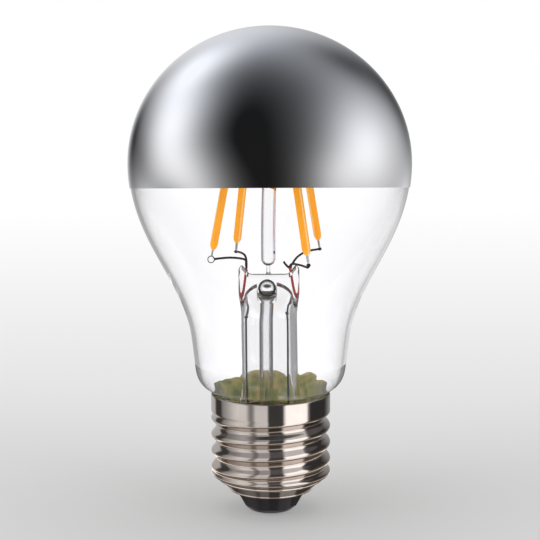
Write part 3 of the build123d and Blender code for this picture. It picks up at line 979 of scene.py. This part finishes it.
thread, given = new_tree(
    "rolled_thread",
    Steps="Int",
    Pitch="Float",
    Depth="Float",
    Crest="Float",
    Start="Float",
    End="Float",
    RunOut="Float",
    Material="Material",
)
blank = add_node(thread, "GeometryNodeGroup", node_tree=turned)
for label in ("Seed", "Steps", "Material"):
    thread.links.new(given[label], blank.inputs[label])
place = add_node(thread, "GeometryNodeInputPosition")
at = add_node(thread, "ShaderNodeSeparateXYZ", {"Vector": place.outputs[0]})
angle = maths(thread, "ARCTAN2", at.outputs["Y"], at.outputs["X"])
above = maths(thread, "SUBTRACT", at.outputs["Z"], given["Crest"])
laps = maths(thread, "DIVIDE", above, given["Pitch"])
climb = maths(thread, "MULTIPLY", laps, math.tau)
phase = maths(thread, "SUBTRACT", climb, angle)
wave = maths(thread, "COSINE", phase)
groove = ranged(thread, wave, (-1.0, 1.0), (-1.0, 0.0))
start_end = maths(thread, "ADD", given["Start"], given["RunOut"])
end_start = maths(thread, "SUBTRACT", given["End"], given["RunOut"])
run_in = ranged(
    thread, at.outputs["Z"], (given["Start"], start_end), interpolation_type="SMOOTHSTEP"
)
run_off = ranged(
    thread, at.outputs["Z"], (end_start, given["End"]), (1.0, 0.0), interpolation_type="SMOOTHSTEP"
)
sunk = groove
for part in (run_in, run_off, given["Depth"]):
    sunk = maths(thread, "MULTIPLY", sunk, part)
out_way = add_node(
    thread, "ShaderNodeVectorMath", {0: place.outputs[0], 1: (1.0, 1.0, 0.0)}, operation="MULTIPLY"
)
radial = add_node(
    thread, "ShaderNodeVectorMath", {0: out_way.outputs[0]}, operation="NORMALIZE"
)
shift = add_node(
    thread, "ShaderNodeVectorMath", {0: radial.outputs[0], "Scale": sunk}, operation="SCALE"
)
rolled_skin = add_node(
    thread, "GeometryNodeSetPosition", {"Geometry": blank.outputs[0], "Offset": shift.outputs[0]}
)
end_tree(thread, rolled_skin.outputs[0], given["Material"])

# Nickel plate on brass: a warm grey mirror with fine rolling lines round the cap and faint
# handling marks, so its reflections are a little soft.
nickel_plate, tree, shader, seen = new_material("nickel plate on brass")
shader.inputs["Metallic"].default_value = 1.0
line_height, line_length = 0.25, 12.0
stretched = add_node(
    tree,
    "ShaderNodeMapping",
    {"Vector": seen, "Scale": [1 / (s * MM) for s in (line_length, line_length, line_height)]},
)
lines = add_node(tree, "ShaderNodeTexNoise", {"Vector": stretched.outputs[0], "Scale": 1.0})
mark_width = 3.0
marks = noise(tree, seen, mark_width)
plate = blend(tree, marks, linear("#D6CEC8"), linear("#C2B8B2"))
tree.links.new(plate, shader.inputs["Base Color"])
soft = ranged(tree, lines.outputs[0], to=(0.05, 0.14))
tree.links.new(soft, shader.inputs["Roughness"])
bumped(tree, shader, lines.outputs[0], 0.06, 0.02)

lip_end = [(lip_radius + out, lip_z + up) for out, up in lip_inside]
curl_in, curl_end_in, curl_drop = 0.25, 0.28, 0.03
rim_curl = bezier([(crest_radius, curl_z), (crest_radius, rim_z), (crest_radius - curl_in, rim_z)], 6)
rim_curl.append((crest_radius - curl_end_in, rim_z - curl_drop))
cap_wall = cap_side(0) + rim_curl + cap_side(sheet)[::-1] + lip_end
cap = grown(
    "screw_cap",
    [cap_wall + cap_wall[:1]],
    thread,
    Steps=180,
    Pitch=thread_pitch * MM,
    Depth=thread_depth * MM,
    Crest=crest_z * MM,
    Start=shoulder_z * MM,
    End=collar_z * MM,
    RunOut=run_out * MM,
    Material=nickel_plate,
)
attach(cap, "root")
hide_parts("screw_shell")

# Capping cement. A resin and marble paste that is squeezed between the collar and the spigot and
# baked hard, so it fills the gap unevenly. It shows olive and brown through the glass. A smear up
# the glass runs from one bearing to another and has a rise of its own.
cement_low_z, cement_top_z = 20.9, 26.15
cement_gap = 0.02
cement_film, film_low_z, film_edge = 0.16, 26.0, 0.4
collar_line = [(12.72, 25.8), (12.72, 24.5), (12.7, 23.2), (12.2, 22.7), (11.6, 22.3)]
collar_line += [(11.55, cement_low_z)]
cement_steps, glass_steps, film_steps = 180, 16, 6
back_rise, back_start, back_width = 1.1, 0.05, 0.3
smears = [(58, 122, 1.35), (38, 60, 1.15)]
neck_line = sorted((z, r) for r, z in bulb_side(0, 0) if z < neck_foot[1])


def glass_radius(z):
    """Outer radius of the bulb's neck at a height."""
    for (low, low_r), (high, high_r) in zip(neck_line, neck_line[1:]):
        if low <= z <= high:
            return low_r + (high_r - low_r) * (z - low) / (high - low)
    return neck_line[-1][1]


def cement_top(turn):
    """Height of the cement's free edge, which is smeared up the glass at the back."""
    bearing = math.degrees(turn)
    top = cement_top_z + back_rise * ease((math.sin(turn) - back_start) / back_width)
    for start, end, rise in smears:
        share = min(max((bearing - start) / (end - start), 0.0), 1.0)
        top += rise * math.sin(math.pi * share) ** 0.6
    ripple = math.sin(3 * turn + 1) + math.sin(7 * turn) + 0.6 * math.sin(13 * turn + 2)
    return top + (0.06 * ripple + 0.05 * math.sin(29 * turn)) * ease(math.sin(turn) / back_width)


def cement_rings():
    """Rings up the glass, over the free edge, and down the inside of the collar."""
    turns = [math.tau * i / cement_steps for i in range(cement_steps)]
    sections = []
    for turn in turns:
        top = cement_top(turn)
        section = []
        for step in range(glass_steps + 1):
            z = cement_low_z + (top - cement_low_z) * step / glass_steps
            section.append((glass_radius(z) + cement_gap, z))
        for step in range(film_steps, -1, -1):
            z = film_low_z + (top - film_low_z) * step / film_steps
            thinned = film_edge if step == film_steps else 1.0
            section.append((glass_radius(z) + cement_film * thinned, z))
        sections.append(section + collar_line + section[:1])
    rings = []
    for points in zip(*sections):
        ring = [(r * math.cos(t), r * math.sin(t), z) for t, (r, z) in zip(turns, points)]
        rings.append(ring)
    return rings


# Baked cement: matt, mottled olive, moss green and brown, with small pale grains and paler where it
# dried at the top. It glows at the back, painted light for what falls through the bulb, and is
# painted dark brown in front, a painted shade.
pale_start_z, pale_end_z = 24.5, 28.5
shaded_front_y, glowing_y, back_glow = 1.0, 6.0, 0.52
baked_cement, tree, shader, seen = new_material("baked capping cement")
mottle_width, grain_width = 2.2, 0.35
mottle = add_node(
    tree, "ShaderNodeTexNoise", {"Vector": seen, "Scale": 1 / (mottle_width * MM), "Detail": 4.0}
)
cement_tones = [(0.33, "#4C5A16"), (0.5, "#7C862E"), (0.67, "#B49A56")]
mixed = ramp(tree, mottle.outputs[0], cement_tones)
grains = add_node(tree, "ShaderNodeTexVoronoi", {"Vector": seen, "Scale": 1 / (grain_width * MM)})
speck = ranged(tree, grains.outputs["Distance"], (0.1, 0.25), (0.35, 0.0))
paste = blend(tree, speck, mixed, linear("#E6DDB8"))
at = add_node(tree, "ShaderNodeSeparateXYZ", {"Vector": seen})
edge = ranged(tree, at.outputs["Z"], (pale_start_z * MM, pale_end_z * MM), (0.0, 1.4))
patchy = maths(tree, "MULTIPLY", edge, mottle.outputs[0])
dried = blend(tree, patchy, paste, linear("#CDB984"))
# Painted light at the back, which glows, and painted shade in front, darkened brown.
back_light_share = ranged(tree, at.outputs["Y"], (shaded_front_y * MM, glowing_y * MM), (0.4, 1.0))
front_shade = blend(tree, back_light_share, linear("#3A3526"), dried)
tree.links.new(front_shade, shader.inputs["Base Color"])
tree.links.new(front_shade, shader.inputs["Emission Color"])
lit_inside = maths(tree, "MULTIPLY", back_light_share, back_glow)
tree.links.new(lit_inside, shader.inputs["Emission Strength"])
shader.inputs["Roughness"].default_value = 0.75
bumped(tree, shader, mottle.outputs[0], 0.5, 0.3)
cement = lofted("capping_cement", cement_rings(), baked_cement)
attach(cement, "root")
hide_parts("cement_ring")

# Insulator. Black glass poured hot into the foot of the cap and pressed to a blunt cone round the
# centre contact.
foot_z, foot_round, foot_bend = 0.4, 0.25, 1.0
insulator_foot_radius = 5.3
contact_well, well_top_z = 3.38, 2.0
well_edge, foot_start = (contact_well, foot_z + foot_round), (contact_well + foot_round, foot_z)
foot_end = (insulator_foot_radius - foot_bend, foot_z)
cone_low, cone_high = (5.85, foot_z + foot_bend), (7.75, 4.75)
throat_handle, throat = (7.95, 5.1), (8.35, 5.45)
seat, inside_radius, inside_z = (10.2, 7.5), 10.0, 9.0
insulator_line = (
    [(contact_well, well_top_z), well_edge]
    + bezier([well_edge, (contact_well, foot_z), foot_start], 5)
    + bezier([foot_start, foot_end], 4)
    + bezier([foot_end, (insulator_foot_radius, foot_z), cone_low], 10)
    + bezier([cone_low, cone_high], 8)
    + bezier([cone_high, throat_handle, throat], 5)
    + bezier([throat, seat], 6)
    + [seat, (inside_radius, inside_z), (contact_well, inside_z), (contact_well, well_top_z)]
)
black_glass, tree, shader, seen = new_material("pressed black glass")
flow_width = 4.0
flow = noise(tree, seen, flow_width)
black = blend(tree, flow, linear("#262428"), linear("#38353A"))
tree.links.new(black, shader.inputs["Base Color"])
glaze = ranged(tree, flow, to=(0.12, 0.3))
tree.links.new(glaze, shader.inputs["Roughness"])
bumped(tree, shader, flow, 0.15, 0.1)
insulator = grown("glass_insulator", [insulator_line], turned, Steps=128, Material=black_glass)
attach(insulator, "root")
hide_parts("insulator")

# Centre contact. A tinned brass rivet whose head is the lamp's foot, with rings from the press.
tinned_brass, tree, shader, seen = new_material("tinned brass")
shader.inputs["Metallic"].default_value = 1.0
ring_width, wave_rate = 0.35, 20.0
rings = add_node(
    tree,
    "ShaderNodeTexWave",
    {"Vector": seen, "Scale": 1 / (ring_width * MM) / wave_rate, "Distortion": 1.0},
    wave_type="RINGS",
    rings_direction="Z",
)
tin = blend(tree, rings.outputs["Fac"], linear("#C9C3B4"), linear("#A89C80"))
tree.links.new(tin, shader.inputs["Base Color"])
worn = ranged(tree, rings.outputs["Fac"], to=(0.25, 0.42))
tree.links.new(worn, shader.inputs["Roughness"])
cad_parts["centre_contact"].material_slots[0].material = tinned_brass

# Driver. A small board in the cap with its parts, hidden there: green solder mask, black moulded
# chips, a sleeved capacitor, a lacquered resistor and copper leads. Listed are the finish, its two
# tones, the roughness, the metal's share and the width of the grain.
driver_finishes = {
    "driver_board": ("solder mask on glass laminate", "#2F6B35", "#3E8044", 0.4, 0.0, 0.8),
    "driver_chip": ("moulded epoxy", "#18181A", "#2A2A2C", 0.55, 0.0, 0.3),
    "bridge_rectifier": ("filled epoxy", "#1B1B1D", "#303032", 0.6, 0.0, 0.3),
    "smoothing_capacitor": ("shrunk sleeve", "#1E2A4A", "#2C3B63", 0.35, 0.0, 1.5),
    "fuse_resistor": ("dipped lacquer", "#6F7F86", "#8E9BA0", 0.4, 0.0, 0.5),
    "live_leads": ("tinned copper", "#B98A62", "#C7A384", 0.3, 1.0, 0.4),
    "neutral_wire": ("drawn copper", "#B0703F", "#C98C5C", 0.3, 1.0, 0.4),
}
for node_name, (finish, dark, light, roughness, metallic, grain_width) in driver_finishes.items():
    material, tree, shader, seen = new_material(finish)
    grain = noise(tree, seen, grain_width)
    tone = blend(tree, grain, linear(dark), linear(light))
    tree.links.new(tone, shader.inputs["Base Color"])
    shader.inputs["Roughness"].default_value = roughness
    shader.inputs["Metallic"].default_value = metallic
    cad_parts[node_name].material_slots[0].material = material

# Studio. A pale floor that lightens with distance into a white background, soft lamps at both
# sides and above, and a low dish of light and dark panels round the cap that only reflections see.
floor_half, floor_drop = 6000.0, 0.02


def bare_tree(owner):
    """The emptied node tree of a material or of the world."""
    owner.use_nodes = True
    owner.node_tree.nodes.clear()
    return owner.node_tree


corners = [(-floor_half, -floor_half), (floor_half, -floor_half)]
corners += [(-x, -y) for x, y in corners]
floor_mesh = bpy.data.meshes.new("floor")
floor_mesh.from_pydata([Vector((x, y, -floor_drop)) * MM for x, y in corners], [], [(0, 1, 2, 3)])
floor = bpy.data.objects.new("floor", floor_mesh)
bpy.context.collection.objects.link(floor)

# Matt floor paint: lit near the lamp, where it takes the shadow, and glowing by itself farther off,
# where the background is white. It shows white through the glass, and grey in what the glass throws
# back inside.
floor_white, floor_fall, side_weight = 1.03, 90.0, 0.3
lit_reach, lit_share, paint_gain = 250.0, 0.55, 1.21
clear_light, glass_dim, glass_share = 1.18, 0.36, 0.2
floor_paint = bpy.data.materials.new("matt floor paint")
tree = bare_tree(floor_paint)
seen = add_node(tree, "ShaderNodeTexCoord").outputs["Object"]
weighed = add_node(
    tree, "ShaderNodeVectorMath", {0: seen, 1: (side_weight, 1.0, 0.0)}, operation="MULTIPLY"
)
away = add_node(tree, "ShaderNodeVectorMath", {0: weighed.outputs[0]}, operation="LENGTH")
distance = maths(tree, "ADD", away.outputs["Value"], -camera_place.y * MM)
fall = maths(tree, "DIVIDE", -floor_fall * MM, distance)
level = maths(tree, "ADD", fall, floor_white)
reach = maths(tree, "DIVIDE", away.outputs["Value"], lit_reach * MM)
square = maths(tree, "POWER", reach, 2.0)
shrunk = maths(tree, "MULTIPLY", square, -1.0)
faded = maths(tree, "EXPONENT", shrunk)
near = maths(tree, "MULTIPLY", faded, lit_share)
albedo = maths(tree, "MULTIPLY", level, near)
glow = maths(tree, "SUBTRACT", level, albedo)
gained = maths(tree, "MULTIPLY", albedo, paint_gain)
grey = add_node(tree, "ShaderNodeCombineColor", {i: gained for i in range(3)})
matt = add_node(tree, "ShaderNodeBsdfDiffuse", {"Color": grey.outputs[0]})
glowing = add_node(tree, "ShaderNodeEmission", {"Color": (1, 1, 1, 1), "Strength": glow})
painted = add_node(tree, "ShaderNodeAddShader", {0: matt.outputs[0], 1: glowing.outputs[0]})
rays = add_node(tree, "ShaderNodeLightPath")
bounced = maths(tree, "GREATER_THAN", rays.outputs["Glossy Depth"], 0.5)
in_glass = blend(tree, bounced, clear_light, glass_dim, kind="FLOAT")
through = add_node(tree, "ShaderNodeEmission", {"Color": (1, 1, 1, 1), "Strength": in_glass})
floor_mix = add_node(
    tree,
    "ShaderNodeMixShader",
    {"Fac": rays.outputs["Is Transmission Ray"], 1: painted.outputs[0], 2: through.outputs[0]},
)
add_node(tree, "ShaderNodeOutputMaterial", {"Surface": floor_mix.outputs[0]})
floor_mesh.materials.append(floor_paint)
floor.visible_glossy = False

# Panels round the cap: white and grey paper with dark gaps, by their bearing from the front, on a
# dark table, with a light strip at the foot of the wall, a dark lid and a light ring for the rim.
# It is all dimmer in the cap's own shade, and lights the cap and nothing else.
panel_radius, panel_top = 26.0, 27.0
table_z, table_inner_radius = 0.2, 6.0
shade_radius, clear_radius = 11.0, 15.0
lid_radius, lid_rise = 17.2, 0.4
ring_radius, ring_rise, ring_top = 20.0, 0.9, 4.0
warm_low_z, warm_high_z = 8.0, 18.0
strip_low_z, strip_high_z = 4.0, 5.0
panel_light, shade_light = 1.7, 0.3
panels = [
    (-180, "#9F9F9F"),
    (-108, "#9F9F9F"),
    (-101, "#343434"),
    (-86, "#343434"),
    (-80, "#7A7A7A"),
    (-70, "#949494"),
    (-50, "#C9C9C9"),
    (-36, "#C2C2C2"),
    (-30, "#757575"),
    (-26, "#757575"),
    (-21, "#BCBCBC"),
    (-5, "#BCBCBC"),
    (-3, "#343434"),
    (17, "#343434"),
    (22, "#FFFFFF"),
    (54.5, "#FFFFFF"),
    (58, "#757575"),
    (62, "#2B2B2B"),
    (99, "#2B2B2B"),
    (120, "#757575"),
    (180, "#9F9F9F"),
]
paper = bpy.data.materials.new("lit paper panels")
tree = bare_tree(paper)
seen = add_node(tree, "ShaderNodeTexCoord").outputs["Object"]
at = add_node(tree, "ShaderNodeSeparateXYZ", {"Vector": seen})
ahead = maths(tree, "MULTIPLY", at.outputs["Y"], -1.0)
bearing = maths(tree, "ARCTAN2", at.outputs["X"], ahead)
share = ranged(tree, bearing, (-math.pi, math.pi))
shade = ramp(tree, share, [(bearing_angle / 360 + 0.5, tone) for bearing_angle, tone in panels])
flat_way = add_node(
    tree, "ShaderNodeVectorMath", {0: seen, 1: (1.0, 1.0, 0.0)}, operation="MULTIPLY"
)
from_axis = add_node(tree, "ShaderNodeVectorMath", {0: flat_way.outputs[0]}, operation="LENGTH")
panel_level = ranged(
    tree,
    from_axis.outputs["Value"],
    (shade_radius * MM, clear_radius * MM),
    (shade_light * panel_light, panel_light),
)
# The panels turn a warm grey low down, which the cap's lower threads reflect.
low_share = ranged(tree, at.outputs["Z"], (warm_low_z * MM, warm_high_z * MM), (0.35, 0.0))
low_warm_panel = blend(tree, low_share, shade, linear("#8A7F74"))
table_share = ranged(
    tree, from_axis.outputs["Value"], ((clear_radius - 2) * MM, clear_radius * MM), (0.3, 0.9)
)
wall_share = ranged(
    tree,
    from_axis.outputs["Value"],
    ((panel_radius - 1) * MM, (panel_radius - 0.1) * MM),
    (0.0, 0.65),
)
layers = [
    (strip_high_z, strip_low_z, wall_share, linear("#FFF8F0")),
    (table_z + 0.1, table_z, table_share, linear("#5C524A")),
    (panel_top, panel_top + 0.1, 0.6, linear("#5A565A")),
    (panel_top + ring_rise, panel_top + ring_rise + 0.1, 1.0, shade),
]
panel_tone = low_warm_panel
for start_z, end_z, strength, tone in layers:
    layer = ranged(tree, at.outputs["Z"], (start_z * MM, end_z * MM), (0.0, strength))
    panel_tone = blend(tree, layer, panel_tone, tone)
lit_panel = add_node(tree, "ShaderNodeEmission", {"Color": panel_tone, "Strength": panel_level})
add_node(tree, "ShaderNodeOutputMaterial", {"Surface": lit_panel.outputs[0]})
panel_steps = 96
table_radii = (table_inner_radius, shade_radius, clear_radius, panel_radius)
dish_line = [(radius, table_z) for radius in table_radii]
dish_line += [(panel_radius, panel_top), (lid_radius, panel_top + lid_rise)]
dish_line += [(ring_radius, panel_top + ring_rise), (ring_radius, panel_top + ring_top)]
dish_points, dish_faces = [], []
for radius, z in dish_line:
    for i in range(panel_steps):
        t = math.tau * i / panel_steps
        dish_points.append(Vector((radius * math.cos(t), radius * math.sin(t), z)) * MM)
for row in range(len(dish_line) - 1):
    for i in range(panel_steps):
        near, far = row * panel_steps + i, row * panel_steps + (i + 1) % panel_steps
        dish_faces.append((near, far, far + panel_steps, near + panel_steps))
dish_mesh = bpy.data.meshes.new("panel_dish")
dish_mesh.from_pydata(dish_points, [], dish_faces)
dish_mesh.materials.append(paper)
dish = bpy.data.objects.new("panel_dish", dish_mesh)
bpy.context.collection.objects.link(dish)
dish.visible_camera = False
dish.visible_diffuse = False
dish.visible_transmission = False
dish.visible_shadow = False
cap_pieces = bpy.data.collections.new("cap_pieces")
for piece in (cap, insulator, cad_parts["centre_contact"]):
    cap_pieces.objects.link(piece)
dish.light_linking.receiver_collection = cap_pieces

# Studio walls. The view is white, and so is what glass shows of the back. Reflections and the edges
# of the glass see a dark room with a large window at each side and a light wall behind. A glow is
# placed by its bearing from the front and its height, with its strength and how narrow it is.
room_light, room_dark = 0.047, 0.012
clear_rise, dim_rise, dim_view = 0.5, 0.9, 0.5
fill_light = 0.6
glows = {
    "left_top": (-127.1, 50.0, 0.77, 18.3),
    "left_window": (-93.4, 28.0, 1.22, 8.0),
    "right_window": (80.3, 8.7, 0.89, 6.9),
    "back_wall": (173.0, 14.8, 1.8, 2.55),
    "dark_back_left": (-148.5, 10.2, -0.34, 37.9),
    "dark_back_right": (159.2, 14.1, -1.32, 8.1),
    "dark_left_wall": (-126.6, -2.9, -0.77, 1.64),
    "left_floor": (-79.4, -19.1, 1.8, 6.9),
    "right_floor": (52.9, -11.3, 0.33, 15.2),
    "back_floor_left": (-127.3, -29.6, 1.8, 16.9),
    "back_floor_right": (148.4, -24.1, 1.8, 29.0),
    "dark_left_floor": (-84.5, -26.7, -1.43, 13.0),
    "dark_right_top": (139.9, 44.1, -0.48, 12.9),
    "pale_table": (0.0, -90.0, 0.8, 10.0),
}
world = bpy.data.worlds.new("studio")
bpy.context.scene.world = world
tree = bare_tree(world)
way = add_node(tree, "ShaderNodeTexCoord").outputs["Generated"]
glow_sum = room_light
for bearing_angle, rise, strength, focus in glows.values():
    bearing_turn, rise_turn = math.radians(bearing_angle), math.radians(rise)
    toward = (
        math.sin(bearing_turn) * math.cos(rise_turn),
        -math.cos(bearing_turn) * math.cos(rise_turn),
        math.sin(rise_turn),
    )
    facing = add_node(
        tree, "ShaderNodeVectorMath", {0: way, 1: toward}, operation="DOT_PRODUCT"
    )
    fall = maths(tree, "MULTIPLY_ADD", facing.outputs["Value"], focus, -focus)
    glow = maths(tree, "EXPONENT", fall)
    glow_sum = maths(tree, "MULTIPLY_ADD", glow, strength, glow_sum)
room = add_node(
    tree, "ShaderNodeClamp", {"Value": glow_sum, "Min": room_dark, "Max": clear_light}
).outputs[0]
level_way = add_node(tree, "ShaderNodeSeparateXYZ", {"Vector": way})
off_level = maths(tree, "ABSOLUTE", level_way.outputs["Z"])
clear_view = ranged(
    tree,
    off_level,
    (clear_rise, dim_rise),
    (clear_light, dim_view),
    interpolation_type="SMOOTHSTEP",
)
cool = blend(tree, level_way.outputs["Z"], linear("#FFFFFF"), linear("#EEF3FA"))
fill = add_node(tree, "ShaderNodeBackground", {"Color": (1, 1, 1, 1), "Strength": fill_light})
white = add_node(tree, "ShaderNodeBackground", {"Color": (1, 1, 1, 1), "Strength": 1.0})
shine = add_node(tree, "ShaderNodeBackground", {"Color": cool, "Strength": room})
rays = add_node(tree, "ShaderNodeLightPath")
dim_room = maths(tree, "MULTIPLY_ADD", room, glass_share, glass_dim)
bounced = maths(tree, "GREATER_THAN", rays.outputs["Glossy Depth"], 0.5)
in_glass = blend(tree, bounced, clear_view, dim_room, kind="FLOAT")
clear = add_node(tree, "ShaderNodeBackground", {"Color": (1, 1, 1, 1), "Strength": in_glass})
studio = fill
for ray, seen_as in (
    ("Is Camera Ray", white),
    ("Is Glossy Ray", shine),
    ("Is Transmission Ray", clear),
):
    studio = add_node(
        tree,
        "ShaderNodeMixShader",
        {"Fac": rays.outputs[ray], 1: studio.outputs[0], 2: seen_as.outputs[0]},
    )
add_node(tree, "ShaderNodeOutputWorld", {"Surface": studio.outputs[0]})

lamps = {
    "left_softbox": ((-650, -350, 420), 500, 1.2),
    "right_softbox": ((600, -450, 350), 400, 1.0),
    "overhead": ((0, 100, 900), 700, 1.5),
}
lamp_aim = Vector((0, 0, 55))
for name, (place, width, power) in lamps.items():
    data = bpy.data.lights.new(name, "AREA")
    data.size = width * MM
    data.energy = power
    lamp = bpy.data.objects.new(name, data)
    lamp.location = Vector(place) * MM
    lamp.rotation_euler = (lamp_aim - Vector(place)).to_track_quat("-Z", "Y").to_euler()
    lamp.visible_glossy = False
    bpy.context.collection.objects.link(lamp)

# Light has many glass walls to cross here, and runs far along some of them.
bpy.context.scene.cycles.max_bounces = 160
bpy.context.scene.cycles.transmission_bounces = 96
bpy.context.scene.cycles.glossy_bounces = 128
